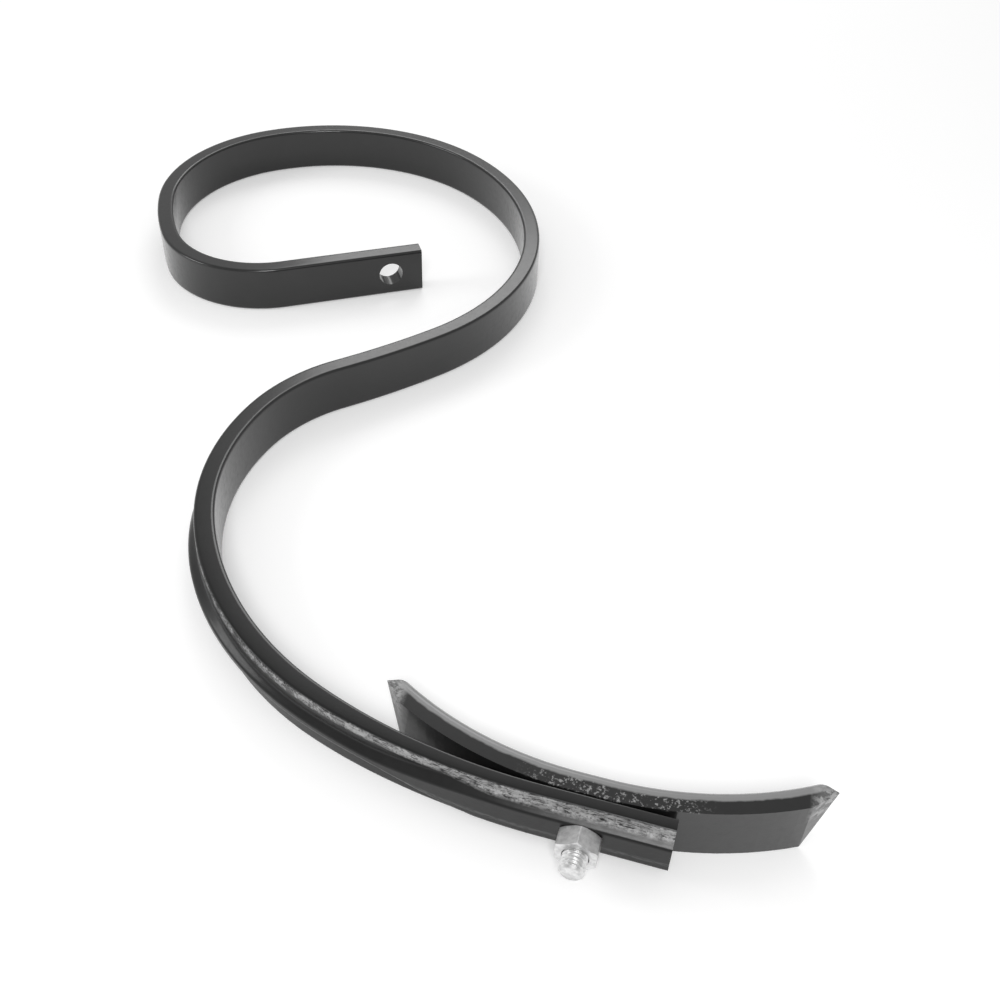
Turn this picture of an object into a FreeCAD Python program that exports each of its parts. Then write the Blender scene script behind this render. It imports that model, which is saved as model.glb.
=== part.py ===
import FreeCAD, Part
import math
import os

# Cultivator spring tine lying on its side; millimetres, +Z along the bar width.
# Origin: centre of the mounting hole. The mounting straight lies along X.

# ---- bar ----
BAR_W = 32.0            # width of the flat bar, along Z
BAR_T = 11.5            # thickness of the flat bar
BAR_R = 1.6             # rolled corner radius
STRAIGHT = 100.2        # mounting straight, from the end to the first bend
HOLE_D = 17.0           # mounting hole
HOLE_EDGE = 23.0        # hole centre to the mounting end

# centre-line bends as (radius, angle); minus turns right, plus turns left
LOOP = [(71.2, -84.74), (205.9, -15.18), (105.9, -72.94), (148.1, -70.99),
        (174.0, -47.43), (156.3, -49.65), (505.6, -8.06)]
BOW_IN = (105.5, 34.39)
ARC_UPPER = (146.0, 39.87)
ARC_MID = (198.4, 40.5)
ARC_LOWER = (315.3, 21.6)
SEAT_L = 60.0           # straight seat at the working end

# ---- pressed back of the lower arc, by distance from the working end ----
FLANGE = [(330.0, 11.5), (235.0, 11.5), (75.0, 6.8), (0.0, 6.8)]
RIB_TOP = [(412.0, 11.5), (292.0, 16.9), (110.0, 12.0), (0.0, 11.9)]
RIB_FLAT = [(412.0, 2.6), (150.0, 3.2), (80.0, 15.5), (0.0, 15.5)]
RIB_FLANK = 3.6         # run of each rib flank
RIB_SHOULDER = 1.2      # depth of the rounded shoulders
RIB_START = 0.05        # height at which the rib begins
RIB_STEP = 24.0         # longest spacing of the rib stations

# ---- share fixing ----
BOLT_FROM_END = 40.0    # bolt axis to the working end of the tine
BOLT_D = 12.0
BOLT_CLEAR = 0.5        # clearance on radius in both holes
BOLT_OUT = 8.5          # thread beyond the nut
BOLT_CHAMFER = 1.2
HEAD_D = 22.0           # countersunk head
HEAD_RIM = 1.5
HEAD_CONE = 5.0
NECK_SQ = 12.0          # square neck under the head
NECK_L = 4.0
NUT_AF = 19.0
NUT_M = 9.5
NUT_CHAMFER = 0.6       # length of the turned corners
SEAT_GAP = 0.3          # space left between parts that seat on each other

# ---- share (reversible point) ----
SHARE_W = 32.0
SHARE_T = 12.3
SHARE_FLAT = 6.0        # half length of the flat at the bolt
SHARE_R = 191.0         # back face radius either side of the flat
SHARE_SPAN = 99.0       # half length of the back face, along the back
SHARE_FRONT_R = 4.2     # rounding of the two front edges
TIP_OUT = 14.5          # tip beyond the back corner
TIP_IN = 4.7            # tip ahead of the back face
FRONT_OUT = 7.5         # front corner beyond the back corner


def v(x, y, z=0.0):
    return FreeCAD.Vector(x, y, z)


def segments():
    """Every centre-line piece as (start, heading, length, curvature)."""
    out = []
    pos = v(HOLE_EDGE, 0.0)
    head = math.pi
    run = [(0.0, STRAIGHT)]
    for radius, angle in LOOP + [BOW_IN, ARC_UPPER, ARC_MID, ARC_LOWER]:
        turn = math.radians(angle)
        run.append((math.copysign(1.0 / radius, turn), radius * abs(turn)))
    run.append((0.0, SEAT_L))
    for curve, length in run:
        out.append((pos, head, length, curve))
        pos, head = advance(pos, head, length, curve)
    return out


def advance(pos, head, length, curve):
    if abs(curve) < 1e-9:
        step = v(math.cos(head), math.sin(head)) * length
        return pos + step, head
    new = head + curve * length
    centre = pos + v(-math.sin(head), math.cos(head)) * (1.0 / curve)
    return centre - v(-math.sin(new), math.cos(new)) * (1.0 / curve), new


def at_distance(back):
    """Centre-line point and heading at a distance from the working end."""
    segs = segments()
    total = sum(seg[2] for seg in segs)
    left = total - back
    for pos, head, length, curve in segs:
        if left <= length + 1e-9:
            return advance(pos, head, left, curve)
        left -= length
    return advance(pos, head, length, curve)


def table(rows, back):
    """Value at a distance from the end, eased between the rows."""
    if back >= rows[0][0]:
        return rows[0][1]
    for (far, a), (near, b) in zip(rows, rows[1:]):
        if back >= near:
            part = (back - near) / (far - near)
            return b + (a - b) * part * part * (3.0 - 2.0 * part)
    return rows[-1][1]


def place(pos, head):
    """Local frame: u to the left of travel, w up, section in the u-w plane."""
    left = v(-math.sin(head), math.cos(head))
    ahead = v(math.cos(head), math.sin(head))

    def put(u, w, along=0.0):
        return pos + left * u + v(0, 0, w) + ahead * along
    return put


def arc3(a, m, b):
    return Part.Arc(a, m, b).toShape()


def bar_wire(put, u0, u1, width, radius_front, radius_back):
    """Rounded rectangle from u0 (back) to u1 (front)."""
    h = width / 2.0
    rb, rf = radius_back, radius_front
    kb, kf = rb * (1.0 - math.sqrt(0.5)), rf * (1.0 - math.sqrt(0.5))
    edges = [
        Part.makeLine(put(u0 + rb, -h), put(u1 - rf, -h)),
        arc3(put(u1 - rf, -h), put(u1 - kf, -h + kf), put(u1, -h + rf)),
        Part.makeLine(put(u1, -h + rf), put(u1, h - rf)),
        arc3(put(u1, h - rf), put(u1 - kf, h - kf), put(u1 - rf, h)),
        Part.makeLine(put(u1 - rf, h), put(u0 + rb, h)),
        arc3(put(u0 + rb, h), put(u0 + kb, h - kb), put(u0, h - rb)),
        Part.makeLine(put(u0, h - rb), put(u0, -h + rb)),
        arc3(put(u0, -h + rb), put(u0 + kb, -h + kb), put(u0 + rb, -h)),
    ]
    return Part.Wire(edges)


def flat_piece(pos, head, length, curve):
    """One straight or bent length of the plain bar."""
    half = BAR_T / 2.0
    wire = bar_wire(place(pos, head), -half, half, BAR_W, BAR_R, BAR_R)
    face = Part.Face(wire)
    if abs(curve) < 1e-9:
        return face.extrude(v(math.cos(head), math.sin(head)) * length)
    centre = pos + v(-math.sin(head), math.cos(head)) * (1.0 / curve)
    return face.revolve(centre, v(0, 0, 1), math.degrees(curve * length))


def stations(start, stop, step):
    """Evenly spaced distances from the end, far to near."""
    count = max(1, int(math.ceil((start - stop) / step)))
    return [start + (stop - start) * i / count for i in range(count + 1)]


def pressed_wire(put, thick, deep, flat, radius):
    """Section of the pressed bar: flat front, thinned flanges, rib on the back."""
    h, half = BAR_W / 2.0, BAR_T / 2.0
    back, top = half - thick, half - deep
    f = flat / 2.0
    root = f + RIB_FLANK
    drop = min(RIB_SHOULDER, 0.5 * (deep - thick))
    rf, rb = BAR_R, radius
    kf, kb = rf * (1.0 - math.sqrt(0.5)), rb * (1.0 - math.sqrt(0.5))
    side = [
        ("line", (half, 0.0 - h + rf), (half, h - rf)),
        ("arc", (half, h - rf), (half - kf, h - kf), (half - rf, h)),
        ("line", (half - rf, h), (back + rb, h)),
        ("arc", (back + rb, h), (back + kb, h - kb), (back, h - rb)),
        ("line", (back, h - rb), (back, root)),
        ("line", (back, root), (top + drop, f + 0.55)),
        ("arc", (top + drop, f + 0.55), (top + 0.25 * drop, f - 0.1), (top, f - 1.0)),
    ]
    across = [("line", (top, f - 1.0), (top, 1.0 - f))]
    other = []
    for kind, *pts in reversed(side[1:]):
        other.append((kind, *[(u, -w) for u, w in reversed(pts)]))
    edges = []
    for kind, *pts in side + across + other:
        pts = [put(u, w) for u, w in pts]
        edges.append(Part.makeLine(*pts) if kind == "line" else arc3(*pts))
    return Part.Wire(edges)


def pressed_length(start):
    """Lower length of the bar: thinned either side of a raised middle rib."""
    wires = []
    for back in stations(start, 0.0, RIB_STEP):
        pos, head = at_distance(back)
        thick = table(FLANGE, back)
        ease = (BAR_T - thick) / (BAR_T - FLANGE[-1][1])
        deep = max(table(RIB_TOP, back), thick + RIB_START)
        wires.append(pressed_wire(place(pos, head), thick, deep,
                                  table(RIB_FLAT, back), BAR_R + ease))
    return Part.makeLoft(wires, True, False)


def round_bore(centre, axis, radius, reach):
    start = centre - axis * reach
    return Part.makeCylinder(radius, 2.0 * reach, start, axis)


def bolt_frame():
    """Front-face point on the bolt axis, with the seat's directions."""
    pos, head = at_distance(BOLT_FROM_END)
    left = v(-math.sin(head), math.cos(head))
    ahead = v(math.cos(head), math.sin(head))
    return pos + left * (BAR_T / 2.0), ahead, left


def tine():
    segs = segments()
    body = None
    for pos, head, length, curve in segs[:9]:
        piece = flat_piece(pos, head, length, curve)
        body = piece if body is None else body.fuse(piece)
    lower = sum(seg[2] for seg in segs[9:])
    body = body.fuse(pressed_length(lower))
    body = body.cut(round_bore(v(0, 0), v(0, 1, 0), HOLE_D / 2.0, BAR_T))
    seat, ahead, left = bolt_frame()
    bore = round_bore(seat, left, BOLT_D / 2.0 + BOLT_CLEAR, 2.0 * BAR_T)
    return body.cut(bore)


def share_outline(shift, span):
    """Half of a curve parallel to the back face: flat, then bent forward."""
    radius = SHARE_R - shift
    angle = (span - SHARE_FLAT) / SHARE_R
    end = v(SHARE_FLAT + radius * math.sin(angle), shift + radius * (1.0 - math.cos(angle)))
    mid = v(SHARE_FLAT + radius * math.sin(angle / 2.0),
            shift + radius * (1.0 - math.cos(angle / 2.0)))
    return mid, end, angle


def mirror_x(p):
    return v(-p.x, p.y, p.z)


def share_blank():
    """Curved bar in local axes: x along the share, y forward, z up."""
    longer = SHARE_SPAN + TIP_OUT + 4.0
    mid_b, end_b, angle = share_outline(0.0, longer)
    mid_f, end_f, angle = share_outline(SHARE_T, longer)
    low_b, low_f = v(SHARE_FLAT, 0), v(SHARE_FLAT, SHARE_T)
    edges = [
        Part.makeLine(mirror_x(low_b), low_b),
        arc3(low_b, mid_b, end_b),
        Part.makeLine(end_b, end_f),
        arc3(end_f, mid_f, low_f),
        Part.makeLine(low_f, mirror_x(low_f)),
        arc3(mirror_x(low_f), mirror_x(mid_f), mirror_x(end_f)),
        Part.makeLine(mirror_x(end_f), mirror_x(end_b)),
        arc3(mirror_x(end_b), mirror_x(mid_b), mirror_x(low_b)),
    ]
    face = Part.Face(Part.Wire(edges))
    solid = face.extrude(v(0, 0, SHARE_W))
    solid.translate(v(0, 0, -SHARE_W / 2.0))
    return solid


def front_edges(solid):
    """Long arrises of the front face."""
    found = []
    for edge in solid.Edges:
        box = edge.BoundBox
        if box.ZLength > 0.1:
            continue
        first = edge.valueAt(edge.FirstParameter)
        last = edge.valueAt(edge.LastParameter)
        if abs(first.x - last.x) < SHARE_FLAT:
            continue
        middle = edge.valueAt((edge.FirstParameter + edge.LastParameter) / 2.0)
        x = abs(middle.x)
        base = 0.0
        if x > SHARE_FLAT:
            base = SHARE_R - math.sqrt(SHARE_R ** 2 - (x - SHARE_FLAT) ** 2)
        if middle.y - base > SHARE_T / 2.0:
            found.append(edge)
    return found


def end_cutter(points, inside):
    """Large block beyond the plane through three points."""
    a, b, c = points
    normal = (b - a).cross(c - a)
    normal.normalize()
    if normal.dot(inside - a) > 0:
        normal = normal * -1.0
    side = (b - a)
    side.normalize()
    other = normal.cross(side)
    size = 160.0
    corners = [a + side * i + other * j for i, j in
               ((-size, -size), (size, -size), (size, size), (-size, size))]
    face = Part.Face(Part.makePolygon(corners + [corners[0]]))
    return face.extrude(normal * size)


def share_end(side):
    """Tip, back corners and front corner of one end, in local axes."""
    mid, corner, angle = share_outline(0.0, SHARE_SPAN)
    out = v(math.cos(angle), math.sin(angle))
    fwd = v(-math.sin(angle), math.cos(angle))
    top = v(0, 0, SHARE_W / 2.0)
    k_top = corner + top
    k_low = corner - top
    tip = corner + out * TIP_OUT + fwd * TIP_IN + top
    front = corner + out * FRONT_OUT + fwd * (SHARE_T + 1.0) + top
    pts = [k_top, k_low, tip, front]
    return [v(side * p.x, p.y, p.z) for p in pts]


def share():
    solid = share_blank()
    solid = solid.makeFillet(SHARE_FRONT_R, front_edges(solid))
    heart = v(0, SHARE_T / 2.0, 0)
    for side in (-1, 1):
        k_top, k_low, tip, front = share_end(side)
        solid = solid.cut(end_cutter((tip, k_top, k_low), heart))
        solid = solid.cut(end_cutter((tip, front, k_low), heart))
    bore = round_bore(v(0, 0), v(0, 1, 0), BOLT_D / 2.0 + BOLT_CLEAR, 3.0 * SHARE_T)
    wide = HEAD_D / 2.0 + SEAT_GAP
    neck = BOLT_D / 2.0 + BOLT_CLEAR
    sink = Part.makeCone(neck, wide, HEAD_CONE, v(0, SHARE_T - HEAD_RIM - HEAD_CONE), v(0, 1, 0))
    rim = Part.makeCylinder(wide, 2.0 * HEAD_RIM, v(0, SHARE_T - HEAD_RIM), v(0, 1, 0))
    square = NECK_SQ / 2.0 + SEAT_GAP
    slot = Part.makeBox(2 * square, HEAD_CONE + NECK_L, 2 * square,
                        v(-square, SHARE_T - HEAD_RIM - HEAD_CONE - NECK_L, -square))
    solid = solid.cut(bore).cut(sink).cut(rim).cut(slot)
    return to_seat(solid, SEAT_GAP)


def to_seat(solid, gap):
    """Carry a part from the share's local axes to its place on the tine."""
    seat, ahead, left = bolt_frame()
    origin = seat + left * gap
    matrix = FreeCAD.Matrix(
        ahead.x, left.x, 0, origin.x,
        ahead.y, left.y, 0, origin.y,
        0, 0, 1, 0,
        0, 0, 0, 1)
    solid = solid.copy()
    solid.transformShape(matrix)
    return solid


def nut_base():
    """Local y of the nut's seating face."""
    return -table(RIB_TOP, BOLT_FROM_END) - 2.0 * SEAT_GAP


def share_bolt():
    """Plough bolt: countersunk head, square neck, plain shank at thread size."""
    face = SHARE_T
    tail = nut_base() - NUT_M - BOLT_OUT
    axis = v(0, 1, 0)
    rim = Part.makeCylinder(HEAD_D / 2.0, HEAD_RIM, v(0, face - HEAD_RIM), axis)
    cone = Part.makeCone(BOLT_D / 2.0, HEAD_D / 2.0, HEAD_CONE,
                         v(0, face - HEAD_RIM - HEAD_CONE), axis)
    half = NECK_SQ / 2.0
    neck = Part.makeBox(NECK_SQ, HEAD_CONE + NECK_L - 1.0, NECK_SQ,
                        v(-half, face - HEAD_RIM - HEAD_CONE - NECK_L + 0.5, -half))
    length = face - HEAD_RIM - tail
    shank = Part.makeCylinder(BOLT_D / 2.0, length - BOLT_CHAMFER,
                              v(0, tail + BOLT_CHAMFER), axis)
    nose = Part.makeCone(BOLT_D / 2.0 - BOLT_CHAMFER, BOLT_D / 2.0, BOLT_CHAMFER,
                         v(0, tail), axis)
    solid = rim.fuse(cone).fuse(neck).fuse(shank).fuse(nose)
    return to_seat(solid, SEAT_GAP)


def share_nut():
    """Hexagon nut with a corner up, its corners turned off at both faces."""
    y0 = nut_base() + SEAT_GAP
    radius = NUT_AF / math.sqrt(3.0)
    corners = []
    for i in range(7):
        a = math.radians(90.0 + 60.0 * i)
        corners.append(v(radius * math.cos(a), y0 - NUT_M, radius * math.sin(a)))
    hexagon = Part.Face(Part.makePolygon(corners)).extrude(v(0, NUT_M, 0))
    small = radius - 2.0 * NUT_CHAMFER
    axis = v(0, 1, 0)
    outer = Part.makeCone(small, small + 2.0 * NUT_M, NUT_M, v(0, y0 - NUT_M), axis)
    inner = Part.makeCone(small + 2.0 * NUT_M, small, NUT_M, v(0, y0 - NUT_M), axis)
    solid = hexagon.common(outer).common(inner)
    hole = Part.makeCylinder(BOLT_D / 2.0 + SEAT_GAP, 2 * NUT_M,
                             v(0, y0 - 1.5 * NUT_M), axis)
    return to_seat(solid.cut(hole), 0.0)


def save(name, solid):
    if len(solid.Solids) != 1 or not solid.isValid():
        raise ValueError("bad solid: " + name)
    solid.Solids[0].exportStep("parts/" + name + ".step")


os.makedirs("parts", exist_ok=True)
save("tine", tine())
save("share", share())
save("share_bolt", share_bolt())
save("share_nut", share_nut())
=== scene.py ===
"""Cultivator spring tine, dressed for rendering: bar, share, bolt, nut and stage."""

import math

import bmesh
import bpy
from mathutils import Matrix, Vector


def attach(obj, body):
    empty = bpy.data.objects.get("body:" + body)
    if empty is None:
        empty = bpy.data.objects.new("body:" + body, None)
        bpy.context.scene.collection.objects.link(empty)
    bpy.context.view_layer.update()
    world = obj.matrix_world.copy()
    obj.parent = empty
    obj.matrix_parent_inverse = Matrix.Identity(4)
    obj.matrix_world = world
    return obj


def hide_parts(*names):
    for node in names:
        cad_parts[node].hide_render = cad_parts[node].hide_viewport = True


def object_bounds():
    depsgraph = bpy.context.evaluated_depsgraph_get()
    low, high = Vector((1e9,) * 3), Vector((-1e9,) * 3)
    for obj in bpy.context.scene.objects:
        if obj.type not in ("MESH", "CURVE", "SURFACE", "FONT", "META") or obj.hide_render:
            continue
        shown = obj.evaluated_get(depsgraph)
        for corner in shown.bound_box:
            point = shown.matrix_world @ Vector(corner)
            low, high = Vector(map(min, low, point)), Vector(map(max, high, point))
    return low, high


bl_info = {
    "name": "Cultivator Spring Tine",
    "version": (1, 0, 0),
    "blender": (4, 5, 0),
    "location": "3D Viewport > Sidebar > Spring Tine",
    "description": "Builds a looped spring tine with its bolted share, ready to render",
    "category": "Add Mesh",
}

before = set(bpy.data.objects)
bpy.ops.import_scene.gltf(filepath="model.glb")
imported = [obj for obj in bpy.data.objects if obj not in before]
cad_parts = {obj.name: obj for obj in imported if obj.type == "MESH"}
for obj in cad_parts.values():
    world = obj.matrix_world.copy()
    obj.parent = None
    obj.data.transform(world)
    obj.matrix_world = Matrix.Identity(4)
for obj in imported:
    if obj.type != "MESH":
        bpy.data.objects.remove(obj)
CAD_BOX = [list(corner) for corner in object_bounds()]
MM = 0.001

# The bar's centre line, in millimetres. A bend is (radius, angle in degrees), and a
# minus angle turns right.
STRAIGHT = 100.2
HOLE_EDGE = 23.0
LOOP = [(71.2, -84.74), (205.9, -15.18), (105.9, -72.94), (148.1, -70.99),
        (174.0, -47.43), (156.3, -49.65), (505.6, -8.06)]
ARC = [(105.5, 34.39), (146.0, 39.87), (198.4, 40.5), (315.3, 21.6)]
SEAT = 60.0
BOLT_FROM_END = 40.0
PATH_STEP = 2.2

# The share's back face: half of its flat at the bolt, then a bend. These and the
# lengths below are in metres.
SHARE_R = 0.191
SHARE_FLAT = 0.006

# Stretches of the bar over which its pressed form changes, from the working end.
FLANGE_THINS = (0.075, 0.235)
CROWN_WIDENS = (0.080, 0.150)
SEAT_SINKS = (0.110, 0.292)
RIB_RISES = (0.292, 0.412)

# How finely things are divided.
SECTION_STEP = 0.0007
CORNER_FACETS = 6
HOLE_SIDES = 96
ROD_SIDES = 64
RINGS_PER_TURN = 14.0

# Holes and fixing. THREADED is the length of bolt that carries a modelled thread.
BOLT_CLEAR = 0.0005
MOUNT_DRILL = 0.05
SEAT_DRILL = 0.06
THREADED = 0.016
THREAD_OVERLAP = 0.0005
THREAD_FLANKS = (0.12, 0.88)
Y_AXIS = Vector((0.0, 1.0, 0.0))
Z_AXIS = Vector((0.0, 0.0, 1.0))

# Edges turned more than this many degrees stay crisp.
SWEPT_CREASE = 50.0
SHARE_CREASE = 32.0
FIXING_CREASE = 30.0

# Black paint is the same on the bar and the share, apart from its wear, its scale and the
# highlights painted into its colour.
PAINT_GLOSS = {"IOR": 1.3, "Coat_IOR": 1.5, "Coat_Roughness": 0.16}
PAINT_COAT = 0.75
PEEL_HEIGHT = 0.06

# Stage.
FLOOR_HALF = 12.0
FLOOR_DROP = 0.0004
FLOOR_GLOW = 0.22
LAMPS_AIM = Vector((-0.03, -0.15, 0.0))
LAMPS = (
    # name, place, side of the square, watts
    ("back softbox", (0.5, 1.3, 1.3), 0.9, 8.0),
    ("front softbox", (-0.35, -1.25, 1.15), 0.45, 10.0),
    ("left softbox", (-1.5, 0.2, 0.8), 0.6, 6.0),
)
CAMERA_PLACE = Vector((-0.14585, -0.72566, 0.45847))
CAMERA_AHEAD = Vector((0.22732, 0.69677, -0.68032))
CAMERA_RIGHT = Vector((0.95778, -0.28625, 0.02686))
SENSOR_MM = 36.0


# ---------------------------------------------------------------- node maths

class Value:
    """One output socket. Arithmetic on it adds Math nodes to its tree."""

    def __init__(self, web, socket):
        self.web = web
        self.socket = socket

    def math(self, operation, *others):
        return self.web.math(operation, self, *others)

    def __add__(self, other):
        return self.web.math("ADD", self, other)

    def __radd__(self, other):
        return self.web.math("ADD", other, self)

    def __sub__(self, other):
        return self.web.math("SUBTRACT", self, other)

    def __rsub__(self, other):
        return self.web.math("SUBTRACT", other, self)

    def __mul__(self, other):
        return self.web.math("MULTIPLY", self, other)

    def __rmul__(self, other):
        return self.web.math("MULTIPLY", other, self)

    def __truediv__(self, other):
        return self.web.math("DIVIDE", self, other)

    def __abs__(self):
        return self.web.math("ABSOLUTE", self)

    def within(self, low, high):
        """0 below low, 1 above high, straight between."""
        return self.web.node("ShaderNodeMapRange", {"clamp": True},
                             {0: self, 1: low, 2: high, 3: 0.0, 4: 1.0})

    def eased(self, low, high):
        """0 below low, 1 above high, smooth between."""
        return self.web.node("ShaderNodeMapRange",
                             {"interpolation_type": "SMOOTHSTEP", "clamp": True},
                             {0: self, 1: low, 2: high, 3: 0.0, 4: 1.0})


class Web:
    """A node tree under construction."""

    def __init__(self, tree):
        self.tree = tree

    def node(self, kind, settings=None, sockets=None, out=0):
        """Add a node: its settings first, then the values or links of its sockets."""
        made = self.tree.nodes.new(kind)
        for name, value in (settings or {}).items():
            if name == "stops":
                self.set_stops(made.color_ramp, value)
            elif name == "captures":
                for data, label in value:
                    made.capture_items.new(data, label)
            else:
                setattr(made, name, value)
        for key, value in (sockets or {}).items():
            socket = made.inputs[key]
            if isinstance(value, Value):
                self.tree.links.new(value.socket, socket)
            else:
                socket.default_value = value
        return Value(self, made.outputs[out]) if made.outputs else made

    @staticmethod
    def set_stops(ramp, stops):
        while len(ramp.elements) < len(stops):
            ramp.elements.new(0.5)
        for element, (place, colour) in zip(ramp.elements, stops):
            element.position = place
            element.color = colour

    def math(self, operation, *values):
        return self.node("ShaderNodeMath", {"operation": operation},
                         dict(enumerate(values)))

    def split(self, vector):
        """The three parts of a vector."""
        first = self.node("ShaderNodeSeparateXYZ", None, {0: vector})
        return [Value(self, socket) for socket in first.socket.node.outputs]

    def joined(self, x, y, z):
        return self.node("ShaderNodeCombineXYZ", None, {0: x, 1: y, 2: z})

    def other(self, value, out):
        """Another output of the node that a value comes from."""
        return Value(self, value.socket.node.outputs[out])


class Shade(Web):
    """A material under construction, ending in one Principled BSDF."""

    def __init__(self, name):
        self.material = bpy.data.materials.new(name)
        self.material.use_nodes = True
        super().__init__(self.material.node_tree)
        self.tree.nodes.clear()
        self.coords = self.node("ShaderNodeTexCoord", None, None, 3)

    def mix(self, factor, first, second):
        """Blend of two colours."""
        return self.node("ShaderNodeMix", {"data_type": "RGBA"},
                         {0: factor, 6: first, 7: second}, 2)

    def noise(self, scale, detail, rough=0.55, at=None):
        return self.node("ShaderNodeTexNoise", None,
                         {"Vector": at or self.coords, "Scale": scale,
                          "Detail": detail, "Roughness": rough})

    def bump(self, height, strength, distance):
        return self.node("ShaderNodeBump", None,
                         {"Height": height, "Strength": strength,
                          "Distance": distance})

    def attribute(self, name):
        """A vector stored on the mesh."""
        return self.node("ShaderNodeAttribute", {"attribute_name": name}, None, 1)

    def finish(self, **sockets):
        """The material, with sockets named as on the Principled BSDF."""
        named = {name.replace("_", " "): value for name, value in sockets.items()}
        surface = self.node("ShaderNodeBsdfPrincipled", None, named)
        self.node("ShaderNodeOutputMaterial", None, {"Surface": surface})
        return self.material


def grey(level):
    """A neutral linear colour."""
    return (level, level, level, 1.0)


# ---------------------------------------------------------------- finishes

def black_paint(name, finish):
    """Satin black paint, even with a faint orange-peel: web, colour, roughness, peel."""
    shade = Shade(name)
    cloud = shade.noise(38.0, 2.0)
    peel = shade.noise(900.0, 2.0)
    dusty = cloud.eased(0.45, 0.75)
    colour = shade.mix(dusty * 0.5, grey(finish.black), grey(finish.black * 1.5))
    rub = shade.noise(260.0, 3.0).eased(0.35, 0.8)
    return shade, colour, finish.gloss + 0.1 * rub, peel


def bar_paint(finish):
    """Black paint with forge scale along the pressed back of the bar, its glints painted in, and
    painted highlights on the upper flange and along the rib.
    """
    shade, colour, rough, peel = black_paint("bar paint", finish)
    back, across, depth = shade.split(shade.attribute("bar_place"))

    # lengths from the working end, then heights from the bar's middle line
    scale_fades, streak_fades = (0.22, 0.40), (0.10, 0.26)
    flange_foot, flange_edge = (0.0094, 0.0112), (0.0148, 0.0158)
    crest_line, crest_edge = -0.0035, (0.0004, 0.0016)

    # the scale lies on the upper flange, and thins out up the bar
    reach = 1.0 - back.eased(*scale_fades)
    flange = across.within(*flange_foot) * (1.0 - across.within(*flange_edge))
    behind = depth.within(0.8, 0.97)
    zone = reach * flange * behind
    pressed = reach * depth.within(0.3, 0.8)

    # a painted highlight streak fills it near the working end, and a faint painted highlight
    # follows the rib's ridge
    streaks = shade.noise(1.0, 4.0, 0.6, shade.joined(back * 260.0, across * 1500.0, 0.0))
    highlight_streak = (1.0 - back.eased(*streak_fades)) * zone * streaks.eased(0.38, 0.58)
    crest_highlight = reach * behind * (1.0 - abs(across - crest_line).within(*crest_edge))

    # flakes and pits of scale, painted bright as glints
    pits = shade.node("ShaderNodeTexVoronoi", {"feature": "F1"},
                      {"Vector": shade.coords, "Scale": 420.0, "Randomness": 1.0})
    patch = shade.noise(120.0, 4.0, 0.65)
    grain = shade.noise(1100.0, 4.0, 0.7)
    flake = (grain * patch).eased(0.22, 0.32) * zone
    scale_glint = (1.0 - pits.within(0.15, 0.45)) * patch.eased(0.36, 0.56) * zone

    # painted light: bright grey for the scale's glints and for the painted highlight streak
    bright = (0.6 * flake + scale_glint * 0.9 + highlight_streak * 0.8).math("MINIMUM", 1.0)
    shown = shade.mix(bright * finish.scale, colour, grey(0.42))
    # the faint painted highlight along the rib's ridge
    shown = shade.mix(crest_highlight * streaks.eased(0.35, 0.6) * 0.35, shown, grey(0.16))
    lump = shade.noise(340.0, 4.0, 0.65)
    height = peel * PEEL_HEIGHT + (lump + flake * 0.5) * (0.15 + zone)
    return shade.finish(Base_Color=shown, Roughness=rough + 0.12 * zone,
                        Normal=shade.bump(height, 0.55, 0.0006),
                        Coat_Weight=PAINT_COAT - 0.55 * pressed, **PAINT_GLOSS)


def share_paint(finish):
    """Black paint, lighter in a band along the front of its top, with specks of painted reflection
    along its middle, and bare at the tips.
    """
    shade, colour, rough, peel = black_paint("share paint", finish)
    along, forward, up = shade.split(shade.attribute("share_place"))

    # lengths along the share, ahead of its back face and above its middle line
    top_edge, band_foot, tip_foot = (0.0150, 0.0157), (0.0105, 0.0135), (0.003, 0.008)
    band_back, band_wander = (0.0072, 0.0082), 0.0016
    tip_start, glint_middle, glint_fades = (0.0935, 0.0985), 0.01, (0.028, 0.045)

    # where it is lighter: a band along the front of the top, specks along the middle of the top,
    # and the bare tips
    wander = shade.noise(160.0, 3.0) * band_wander
    top = up.within(*top_edge)
    band = (forward + wander).within(*band_back) * up.within(*band_foot)
    tips = abs(along).within(*tip_start) * up.within(*tip_foot)
    middle = 1.0 - abs(along - glint_middle).within(*glint_fades)

    worn = shade.noise(300.0, 4.0, 0.7)
    grain = shade.noise(800.0, 3.0, 0.6)
    bare = tips * (0.3 + worn.eased(0.40, 0.60) * 0.7)
    # specks on the rough top: partly scale, partly a painted reflection of the bar's bright
    # highlight
    glint_specks = middle * top * (1.0 - band) * (grain * worn).eased(0.27, 0.36)
    # a lighter band along the front of the top
    shown = shade.mix(band * 0.9, colour, grey(finish.worn * 1.5))
    shown = shade.mix(glint_specks * 0.7, shown, grey(0.35))
    shown = shade.mix(bare, shown, grey(finish.worn * 2.2))
    height = peel * PEEL_HEIGHT + (grain * 0.6 + worn * 0.8) * (0.1 + tips)
    return shade.finish(Base_Color=shown, Roughness=rough + 0.1 * band,
                        Normal=shade.bump(height, 0.5, 0.0005),
                        Coat_Weight=PAINT_COAT - 0.5 * tips, **PAINT_GLOSS)


def zinc(name, finish):
    """Bright zinc plate with a fine crystalline cloud."""
    shade = Shade(name)
    cloud = shade.noise(420.0, 3.0)
    fine = shade.noise(2600.0, 2.0)
    colour = shade.mix(cloud.eased(0.3, 0.75), grey(finish.zinc), grey(finish.zinc * 0.72))
    normal = shade.bump(fine * 0.5 + cloud * 0.6, 0.25, 0.0002)
    return shade.finish(Base_Color=colour, Metallic=1.0,
                        Roughness=0.3 + 0.16 * cloud, Normal=normal)


# ---------------------------------------------------------------- geometry

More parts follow.
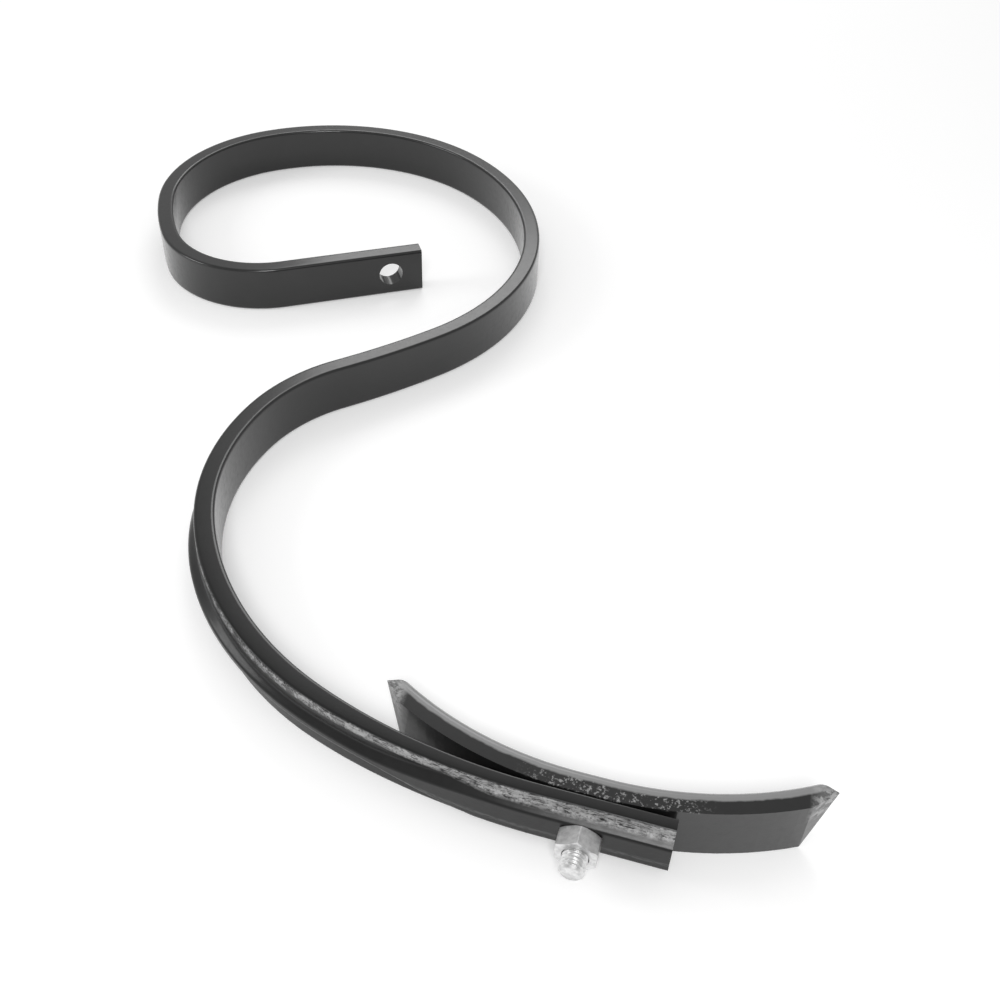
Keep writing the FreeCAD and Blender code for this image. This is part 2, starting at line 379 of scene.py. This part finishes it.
def runs():
    """Every length of the centre line as (curvature per mm, length mm)."""
    out = [(0.0, STRAIGHT)]
    for radius, angle in LOOP + ARC:
        turn = math.radians(angle)
        out.append((math.copysign(1.0 / radius, turn), radius * abs(turn)))
    out.append((0.0, SEAT))
    return out


def advance(place, heading, length, curve):
    """Place and heading after a length of constant curvature."""
    if abs(curve) < 1e-9:
        return place + Vector((math.cos(heading), math.sin(heading))) * length, heading
    new = heading + curve * length
    centre = place + Vector((-math.sin(heading), math.cos(heading))) / curve
    return centre - Vector((-math.sin(new), math.cos(new))) / curve, new


def centre_line(step):
    """Points of the centre line in metres, evenly spaced on each length."""
    place, heading = Vector((HOLE_EDGE, 0.0)), math.pi
    points = [place.copy()]
    for curve, length in runs():
        count = max(2, round(length / step))
        for i in range(count):
            points.append(advance(place, heading, length * (i + 1) / count, curve)[0])
        place, heading = advance(place, heading, length, curve)
    return [Vector((p.x, p.y, 0.0)) * MM for p in points]


def seat_axes():
    """Matrix from the share's own axes (along, forward, up) to the frame."""
    place, heading = Vector((HOLE_EDGE, 0.0)), math.pi
    for curve, length in runs()[:-1]:
        place, heading = advance(place, heading, length, curve)
    place, heading = advance(place, heading, SEAT - BOLT_FROM_END, 0.0)
    ahead = Vector((math.cos(heading), math.sin(heading), 0.0))
    left = Vector((-math.sin(heading), math.cos(heading), 0.0))
    thickness = bpy.context.scene.tine_bar.thickness
    origin = Vector((place.x, place.y, 0.0)) * MM + left * (thickness / 2.0)
    return Matrix((
        (ahead.x, left.x, 0.0, origin.x),
        (ahead.y, left.y, 0.0, origin.y),
        (0.0, 0.0, 1.0, 0.0),
        (0.0, 0.0, 0.0, 1.0)))


def new_object(name, data):
    made = bpy.data.objects.new(name, data)
    bpy.context.scene.collection.objects.link(made)
    return made


def baked(obj):
    """Turn an object and its modifiers into one plain mesh object."""
    graph = bpy.context.evaluated_depsgraph_get()
    mesh = bpy.data.meshes.new_from_object(obj.evaluated_get(graph))
    if obj.type == "MESH":
        obj.modifiers.clear()
        obj.data = mesh
        return obj
    name = obj.name
    bpy.data.objects.remove(obj)
    return new_object(name, mesh)


def creased(mesh, angle):
    """Smooth shading, with crisp edges where faces turn more than an angle."""
    mesh.shade_smooth()
    mesh.set_sharp_from_angle(angle=math.radians(angle))


def smooth(obj, angle):
    """Smooth shading with crisp edges and normals led by the large faces."""
    creased(obj.data, angle)
    modifier = obj.modifiers.new("normals", "WEIGHTED_NORMAL")
    modifier.keep_sharp = True
    return baked(obj)


def merged_copy(node, name):
    """An object with a merged copy of a solid's mesh."""
    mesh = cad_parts[node].data.copy()
    mesh.name = name
    shape = bmesh.new()
    shape.from_mesh(mesh)
    bmesh.ops.remove_doubles(shape, verts=shape.verts, dist=1e-6)
    shape.to_mesh(mesh)
    shape.free()
    mesh.materials.clear()
    return new_object(name, mesh)


def drilled(obj, centre, axis, radius, depth):
    """Drill a round hole through an object."""
    shape = bmesh.new()
    bmesh.ops.create_cone(shape, cap_ends=True, segments=HOLE_SIDES, radius1=radius,
                          radius2=radius, depth=depth)
    turn = Z_AXIS.rotation_difference(axis).to_matrix().to_4x4()
    bmesh.ops.transform(shape, matrix=Matrix.Translation(centre) @ turn, verts=shape.verts)
    mesh = bpy.data.meshes.new("drill")
    shape.to_mesh(mesh)
    shape.free()
    drill = new_object("drill", mesh)
    cut = obj.modifiers.new("drill", "BOOLEAN")
    cut.operation = "DIFFERENCE"
    cut.solver = "EXACT"
    cut.object = drill
    obj = baked(obj)
    bpy.data.objects.remove(drill)
    return obj


def new_tree(name, geometry, sizes):
    """A Geometry Nodes tree with one geometry input and named sizes: web and inputs."""
    tree = bpy.data.node_groups.new(name, "GeometryNodeTree")
    face = tree.interface
    face.new_socket(geometry, in_out="INPUT", socket_type="NodeSocketGeometry")
    for size in sizes:
        face.new_socket(size, in_out="INPUT", socket_type="NodeSocketFloat")
    face.new_socket("Mesh", in_out="OUTPUT", socket_type="NodeSocketGeometry")
    web = Web(tree)
    start = web.node("NodeGroupInput")
    return web, {s.name: Value(web, s) for s in start.socket.node.outputs if s.name}


def end_tree(web, geometry, material):
    """Make a tree's geometry real, give it its material and send it out."""
    solid = web.node("GeometryNodeRealizeInstances", None, {0: geometry})
    coated = web.node("GeometryNodeSetMaterial", None,
                      {"Geometry": solid, "Material": material})
    web.node("NodeGroupOutput", None, {0: coated})
    return web.tree


def captured(web, geometry, **fields):
    """Store named fields on points: the geometry, then each stored field."""
    kinds = [(kind, name) for name, (kind, _) in fields.items()]
    values = {i + 1: value for i, (_, value) in enumerate(fields.values())}
    held = web.node("GeometryNodeCaptureAttribute", {"domain": "POINT", "captures": kinds},
                    {0: geometry, **values})
    return [held] + [web.other(held, i + 1) for i in range(len(kinds))]


def rolled_section(web, give):
    """A rectangle with rolled corners, finely divided."""
    box = web.node("GeometryNodeCurvePrimitiveQuadrilateral", {"mode": "RECTANGLE"},
                   {"Width": give["Thickness"], "Height": give["Width"]})
    rolled = web.node("GeometryNodeFilletCurve", {"mode": "POLY"},
                      {"Curve": box, "Count": CORNER_FACETS, "Radius": give["Corner radius"]})
    return web.node("GeometryNodeResampleCurve", {"mode": "LENGTH"},
                    {"Curve": rolled, "Length": give["Section step"]})


def pressed_depth(give, from_end, across):
    """Depth of the back below the front face: flanges either side of a rib."""
    bar = give["Thickness"]
    flange = give["Flange thickness"]
    flange = flange + (bar - flange) * from_end.eased(*FLANGE_THINS)
    crown = (give["Seat depth"]
             + (give["Rib depth"] - give["Seat depth"]) * from_end.eased(*SEAT_SINKS)
             + (bar - give["Rib depth"]) * from_end.eased(*RIB_RISES))
    flat = (give["Seat width"]
            + (give["Crown width"] - give["Seat width"]) * from_end.eased(*CROWN_WIDENS))
    root = flat * 0.5 + give["Flank run"]
    rise = ((root - abs(across)) / give["Flank run"]).within(0.0, 1.0)
    rounded = 0.6 * rise + 0.4 * rise.eased(0.0, 1.0)
    return flange + (crown - flange).math("MAXIMUM", 0.0) * rounded


def bar_tree(material):
    """Sweep a rounded bar along a path, then press its back either side of a rib."""
    web, give = new_tree("Pressed bar", "Path", (
        "Width", "Thickness", "Corner radius", "Section step", "Flange thickness",
        "Rib depth", "Seat depth", "Crown width", "Seat width", "Flank run"))

    # the path carries its distance from the working end and its left side
    path = web.node("GeometryNodeSetCurveNormal", {"mode": "Z_UP"}, {"Curve": give["Path"]})
    length = web.node("GeometryNodeCurveLength", None, {"Curve": path})
    along = web.node("GeometryNodeSplineParameter", None, None, 1)
    tangent = web.node("GeometryNodeInputTangent")
    left = web.node("ShaderNodeVectorMath", {"operation": "CROSS_PRODUCT"},
                    {0: tuple(Z_AXIS), 1: tangent})
    path, from_end, leftward = captured(
        web, path, from_end=("FLOAT", length - along), left=("VECTOR", left))

    # the section carries its own place; its second axis points down
    spot = web.node("GeometryNodeInputPosition")
    section, place = captured(web, rolled_section(web, give), place=("VECTOR", spot))
    through, down, _ = web.split(place)
    across = 0.0 - down
    swept = web.node("GeometryNodeCurveToMesh", None,
                     {"Curve": path, "Profile Curve": section, "Fill Caps": True})

    # the back moves in and out, and the front face stays
    share_of = (through / give["Thickness"] + 0.5).within(0.0, 1.0)
    shift = share_of * (give["Thickness"] - pressed_depth(give, from_end, across))
    offset = web.node("ShaderNodeVectorMath", {"operation": "SCALE"},
                      {0: leftward, "Scale": shift})
    pressed = web.node("GeometryNodeSetPosition", None,
                       {"Geometry": swept, "Offset": offset})
    stored = web.node("GeometryNodeStoreNamedAttribute",
                      {"data_type": "FLOAT_VECTOR", "domain": "CORNER"},
                      {"Geometry": pressed, "Name": "bar_place",
                       "Value": web.joined(from_end, across, share_of)})
    return end_tree(web, stored, material)


def with_tree(obj, tree, values):
    """Add a Geometry Nodes modifier and set its inputs by identifier."""
    modifier = obj.modifiers.new(tree.name, "NODES")
    modifier.node_group = tree
    for item in tree.interface.items_tree:
        if item.item_type == "SOCKET" and item.in_out == "INPUT" and item.name in values:
            modifier[item.identifier] = values[item.name]


def thread_tree(material):
    """A threaded rod: a cylinder whose wall follows a helix, with a turned nose."""
    web, give = new_tree("Threaded rod", "Base", (
        "Radius", "Length", "Pitch", "Thread depth", "Chamfer"))
    rings = (give["Length"] / give["Pitch"]) * RINGS_PER_TURN
    rod = web.node("GeometryNodeMeshCylinder", {"fill_type": "TRIANGLE_FAN"},
                   {"Vertices": ROD_SIDES, "Side Segments": rings,
                    "Radius": give["Radius"], "Depth": give["Length"]})
    x, y, z = web.split(web.node("GeometryNodeInputPosition"))
    turn = y.math("ARCTAN2", x) / (2.0 * math.pi)
    phase = (z / give["Pitch"] + turn).math("FRACT")
    groove = (abs(phase - 0.5) * 2.0).within(*THREAD_FLANKS)
    wall = give["Radius"] - give["Thread depth"] * groove
    to_nose = give["Length"] * 0.5 - z
    nose = give["Radius"] - give["Chamfer"] * (1.0 - to_nose.within(0.0, give["Chamfer"]))

    # the end discs follow the wall, and their middle stays
    radius = (x * x + y * y).math("SQRT")
    outer = radius.within(0.0, give["Radius"] * 0.5)
    factor = 1.0 + (wall.math("MINIMUM", nose) / give["Radius"] - 1.0) * outer
    shaped = web.node("GeometryNodeSetPosition", None,
                      {"Geometry": rod, "Position": web.joined(x * factor, y * factor, z)})
    return end_tree(web, shaped, material)


# ---------------------------------------------------------------- settings

class BarSettings(bpy.types.PropertyGroup):
    """Sizes of the sprung bar."""

    width: bpy.props.FloatProperty(
        name="Width", description="Width of the flat bar",
        default=0.032, min=0.01, unit="LENGTH")
    thickness: bpy.props.FloatProperty(
        name="Thickness", description="Thickness of the flat bar",
        default=0.0115, min=0.004, unit="LENGTH")
    corner: bpy.props.FloatProperty(
        name="Corner radius", description="Rolled corners of the bar",
        default=0.0016, min=0.0002, unit="LENGTH")
    hole: bpy.props.FloatProperty(
        name="Mounting hole", description="Diameter of the mounting hole",
        default=0.017, min=0.004, unit="LENGTH")
    flange: bpy.props.FloatProperty(
        name="Flange thickness", description="Thickness beside the rib at the working end",
        default=0.0068, min=0.003, unit="LENGTH")
    rib_depth: bpy.props.FloatProperty(
        name="Rib depth", description="Full depth over the rib where it stands highest",
        default=0.0169, min=0.005, unit="LENGTH")
    seat_depth: bpy.props.FloatProperty(
        name="Seat depth", description="Depth over the rib where the nut seats",
        default=0.012, min=0.005, unit="LENGTH")
    crown: bpy.props.FloatProperty(
        name="Crown width", description="Width of the rib's narrow crown",
        default=0.003, min=0.001, unit="LENGTH")
    seat_width: bpy.props.FloatProperty(
        name="Seat width", description="Width of the crown where the nut seats",
        default=0.0155, min=0.002, unit="LENGTH")
    flank: bpy.props.FloatProperty(
        name="Flank run", description="Width of each rib flank",
        default=0.0036, min=0.001, unit="LENGTH")


class FixingSettings(bpy.types.PropertyGroup):
    """Sizes of the share bolt's thread."""

    diameter: bpy.props.FloatProperty(
        name="Thread diameter", description="Outside diameter of the thread",
        default=0.012, min=0.003, unit="LENGTH")
    pitch: bpy.props.FloatProperty(
        name="Pitch", description="Distance between thread turns",
        default=0.00175, min=0.0004, unit="LENGTH")
    depth: bpy.props.FloatProperty(
        name="Thread depth", description="Depth of the thread",
        default=0.0009, min=0.0001, unit="LENGTH")
    chamfer: bpy.props.FloatProperty(
        name="End chamfer", description="Chamfer at the end of the bolt",
        default=0.0012, min=0.0002, unit="LENGTH")


class FinishSettings(bpy.types.PropertyGroup):
    """Colours and gloss."""

    black: bpy.props.FloatProperty(
        name="Black", description="Lightness of the black paint",
        default=0.008, min=0.001, max=1.0, subtype="FACTOR")
    gloss: bpy.props.FloatProperty(
        name="Paint roughness", description="Roughness of the black paint",
        default=0.30, min=0.05, max=1.0, subtype="FACTOR")
    # sets the share's lighter top band as well as its bare tips
    worn: bpy.props.FloatProperty(
        name="Worn steel", description="Lightness of the rubbed share edges",
        default=0.16, min=0.01, max=1.0, subtype="FACTOR")
    zinc: bpy.props.FloatProperty(
        name="Zinc", description="Lightness of the zinc plate",
        default=0.80, min=0.1, max=1.0, subtype="FACTOR")
    # also sets how strongly the painted glints and the painted highlight streak show
    scale: bpy.props.FloatProperty(
        name="Forge scale", description="How strongly the forge scale shows",
        default=0.9, min=0.0, max=1.0, subtype="FACTOR")


class StageSettings(bpy.types.PropertyGroup):
    """Floor, light and camera."""

    floor: bpy.props.FloatProperty(
        name="Floor", description="Lightness of the floor",
        default=0.85, min=0.1, max=1.0, subtype="FACTOR")
    soft_light: bpy.props.FloatProperty(
        name="Surround", description="Level of the even light from all round",
        default=0.55, min=0.0, max=4.0)
    lens: bpy.props.FloatProperty(
        name="Lens", description="Focal length of the camera",
        default=42.14, min=10.0, subtype="DISTANCE_CAMERA")


# ---------------------------------------------------------------- operators

class TINE_OT_bar(bpy.types.Operator):
    """Sweep the sprung bar, press its rib and drill it"""

    bl_idname = "tine.bar"
    bl_label = "Spring Bar"

    def execute(self, context):
        sizes = context.scene.tine_bar
        material = bar_paint(context.scene.tine_finish)
        path = self.path()
        with_tree(path, bar_tree(material), {
            "Width": sizes.width, "Thickness": sizes.thickness,
            "Corner radius": sizes.corner, "Section step": SECTION_STEP,
            "Flange thickness": sizes.flange, "Rib depth": sizes.rib_depth,
            "Seat depth": sizes.seat_depth, "Crown width": sizes.crown,
            "Seat width": sizes.seat_width, "Flank run": sizes.flank})
        bar = drilled(baked(path), Vector(), Y_AXIS, sizes.hole / 2.0, MOUNT_DRILL)
        seat = seat_axes()
        bolt_hole = context.scene.tine_fixing.diameter / 2.0 + BOLT_CLEAR
        bar = drilled(bar, seat.translation, seat.col[1].to_3d(), bolt_hole, SEAT_DRILL)
        bar.data.materials.clear()
        bar.data.materials.append(material)
        creased(bar.data, SWEPT_CREASE)
        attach(bar, "root")
        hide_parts("tine")
        return {"FINISHED"}

    @staticmethod
    def path():
        """The centre line as a curve object."""
        curve = bpy.data.curves.new("spring_bar", "CURVE")
        curve.dimensions = "3D"
        points = centre_line(PATH_STEP)
        spline = curve.splines.new("POLY")
        spline.points.add(len(points) - 1)
        for point, place in zip(spline.points, points):
            point.co = (*place, 1.0)
        return new_object("spring_bar", curve)


class TINE_OT_share(bpy.types.Operator):
    """Make the reversible share with its lighter top band, painted specks and bare tips"""

    bl_idname = "tine.share"
    bl_label = "Share"

    def execute(self, context):
        share = smooth(merged_copy("share", "reversible_share"), SHARE_CREASE)
        self.place_finish(share.data)
        share.data.materials.append(share_paint(context.scene.tine_finish))
        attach(share, "root")
        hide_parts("share")
        return {"FINISHED"}

    @staticmethod
    def place_finish(mesh):
        """Store each point's place along the share, ahead of its back face, and up."""
        local = seat_axes().inverted()
        places = mesh.attributes.new("share_place", "FLOAT_VECTOR", "POINT")
        for vertex, item in zip(mesh.vertices, places.data):
            p = local @ vertex.co
            beyond = max(abs(p.x) - SHARE_FLAT, 0.0)
            forward = SHARE_R - math.hypot(beyond, SHARE_R - p.y)
            item.vector = (p.x, forward, p.z)


class TINE_OT_fixing(bpy.types.Operator):
    """Make the share bolt with its thread, and the nut"""

    bl_idname = "tine.fixing"
    bl_label = "Bolt and Nut"

    def execute(self, context):
        finish = context.scene.tine_finish
        seat = seat_axes()
        plate = zinc("bolt zinc", finish)
        head = merged_copy("share_bolt", "bolt_head")
        local = seat.inverted()
        low = min((local @ v.co).y for v in head.data.vertices)
        head = self.shortened(head, seat, low + THREADED)
        head.data.materials.append(plate)
        rod = self.thread(context.scene.tine_fixing, seat, low, plate)
        nut = smooth(merged_copy("share_nut", "share_nut_zinc"), FIXING_CREASE)
        nut.data.materials.append(zinc("nut zinc", finish))
        for piece, node, slot in ((head, "share_bolt", "bolt_zinc"),
                                  (rod, "share_bolt", "bolt_zinc"),
                                  (nut, "share_nut", "nut_zinc")):
            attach(piece, "root")
            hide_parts(node)
        return {"FINISHED"}

    @staticmethod
    def shortened(head, seat, cut):
        """Cut the plain shank off at a height on the seat's forward axis, and cap it."""
        shape = bmesh.new()
        shape.from_mesh(head.data)
        bmesh.ops.bisect_plane(
            shape, geom=shape.verts[:] + shape.edges[:] + shape.faces[:],
            plane_co=seat @ (Y_AXIS * cut), plane_no=-seat.col[1].to_3d(),
            clear_outer=True)
        rim = [edge for edge in shape.edges if edge.is_boundary]
        bmesh.ops.contextual_create(shape, geom=rim)
        shape.to_mesh(head.data)
        shape.free()
        return smooth(head, FIXING_CREASE)

    @staticmethod
    def thread(sizes, seat, low, plate):
        """The threaded length, from the bolt's end to just past the cut."""
        rod = new_object("bolt_thread", bpy.data.meshes.new("bolt_thread"))
        length = THREADED + THREAD_OVERLAP
        with_tree(rod, thread_tree(plate), {
            "Radius": sizes.diameter / 2.0, "Length": length, "Pitch": sizes.pitch,
            "Thread depth": sizes.depth, "Chamfer": sizes.chamfer})
        rod = baked(rod)
        lay = Matrix.Rotation(math.radians(90.0), 4, "X")
        middle = Matrix.Translation(Y_AXIS * (low + length / 2.0))
        rod.data.transform(seat @ middle @ lay)
        creased(rod.data, SWEPT_CREASE)
        return rod


class TINE_OT_stage(bpy.types.Operator):
    """Lay the floor, hang the lights and set the camera"""

    bl_idname = "tine.stage"
    bl_label = "Stage"

    def execute(self, context):
        scene = context.scene
        settings = scene.tine_stage
        self.lay_floor(settings)
        self.light(settings)
        self.set_camera(scene, settings)
        scene.view_settings.view_transform = "Standard"
        return {"FINISHED"}

    @staticmethod
    def lay_floor(settings):
        """A matt floor just under the object, a little brighter where it is seen."""
        shape = bmesh.new()
        bmesh.ops.create_grid(shape, x_segments=1, y_segments=1, size=FLOOR_HALF)
        mesh = bpy.data.meshes.new("floor")
        shape.to_mesh(mesh)
        shape.free()
        mesh.transform(Matrix.Translation((0.0, 0.0, CAD_BOX[0][2] - FLOOR_DROP)))
        floor = new_object("floor", mesh)
        shade = Shade("floor")
        path = shade.node("ShaderNodeLightPath")
        seen = path + shade.other(path, "Is Glossy Ray") + shade.other(path, "Is Transmission Ray")
        matt = shade.node("ShaderNodeBsdfDiffuse", None, {"Color": grey(settings.floor)})
        glow = shade.node("ShaderNodeEmission", None, {"Color": grey(1.0), "Strength": FLOOR_GLOW})
        lifted = shade.node("ShaderNodeAddShader", None, {0: matt, 1: glow})
        both = shade.node("ShaderNodeMixShader", None,
                          {0: seen.math("MINIMUM", 1.0), 1: matt, 2: lifted})
        shade.node("ShaderNodeOutputMaterial", None, {"Surface": both})
        mesh.materials.append(shade.material)

    @staticmethod
    def light(settings):
        """Even light from all round, and soft square lamps."""
        world = bpy.data.worlds.new("studio")
        world.use_nodes = True
        web = Web(world.node_tree)
        world.node_tree.nodes.clear()
        glow = web.node("ShaderNodeBackground", None,
                        {"Color": grey(1.0), "Strength": settings.soft_light})
        web.node("ShaderNodeOutputWorld", None, {"Surface": glow})
        bpy.context.scene.world = world
        for name, place, size, power in LAMPS:
            data = bpy.data.lights.new(name, "AREA")
            data.shape = "SQUARE"
            data.size = size
            data.energy = power
            lamp = new_object(name, data)
            lamp.location = place
            aim = LAMPS_AIM - lamp.location
            lamp.rotation_euler = aim.to_track_quat("-Z", "Y").to_euler()

    @staticmethod
    def set_camera(scene, settings):
        """Stand the camera above the working end, looking up the bar."""
        data = bpy.data.cameras.new("camera")
        data.sensor_width = SENSOR_MM
        data.lens = settings.lens
        data.clip_start = 0.01
        data.clip_end = 60.0
        camera = new_object("camera", data)
        up = CAMERA_RIGHT.cross(CAMERA_AHEAD)
        turn = Matrix((CAMERA_RIGHT, up, -CAMERA_AHEAD)).transposed().to_4x4()
        camera.matrix_world = Matrix.Translation(CAMERA_PLACE) @ turn
        scene.camera = camera


class TINE_PT_panel(bpy.types.Panel):
    """Lists the pieces and their settings"""

    bl_label = "Spring Tine"
    bl_idname = "TINE_PT_panel"
    bl_space_type = "VIEW_3D"
    bl_region_type = "UI"
    bl_category = "Spring Tine"

    def draw(self, context):
        for title, name, _, operator in STEPS:
            box = self.layout.box()
            box.label(text=title)
            group = getattr(context.scene, name)
            for prop in group.bl_rna.properties:
                if not prop.is_readonly and prop.identifier != "name":
                    box.prop(group, prop.identifier)
            box.operator(operator.bl_idname)


# Title in the panel, name of the settings on the scene, their class and the operator.
STEPS = (
    ("Bar", "tine_bar", BarSettings, TINE_OT_bar),
    ("Share and finish", "tine_finish", FinishSettings, TINE_OT_share),
    ("Bolt and nut", "tine_fixing", FixingSettings, TINE_OT_fixing),
    ("Stage", "tine_stage", StageSettings, TINE_OT_stage),
)


def register():
    for _, name, group, operator in STEPS:
        bpy.utils.register_class(group)
        setattr(bpy.types.Scene, name, bpy.props.PointerProperty(type=group))
        bpy.utils.register_class(operator)
    bpy.utils.register_class(TINE_PT_panel)


def unregister():
    bpy.utils.unregister_class(TINE_PT_panel)
    for _, name, group, operator in reversed(STEPS):
        bpy.utils.unregister_class(operator)
        delattr(bpy.types.Scene, name)
        bpy.utils.unregister_class(group)


def main():
    register()
    bpy.ops.tine.bar()
    bpy.ops.tine.share()
    bpy.ops.tine.fixing()
    bpy.ops.tine.stage()


if __name__ == "__main__":
    main()
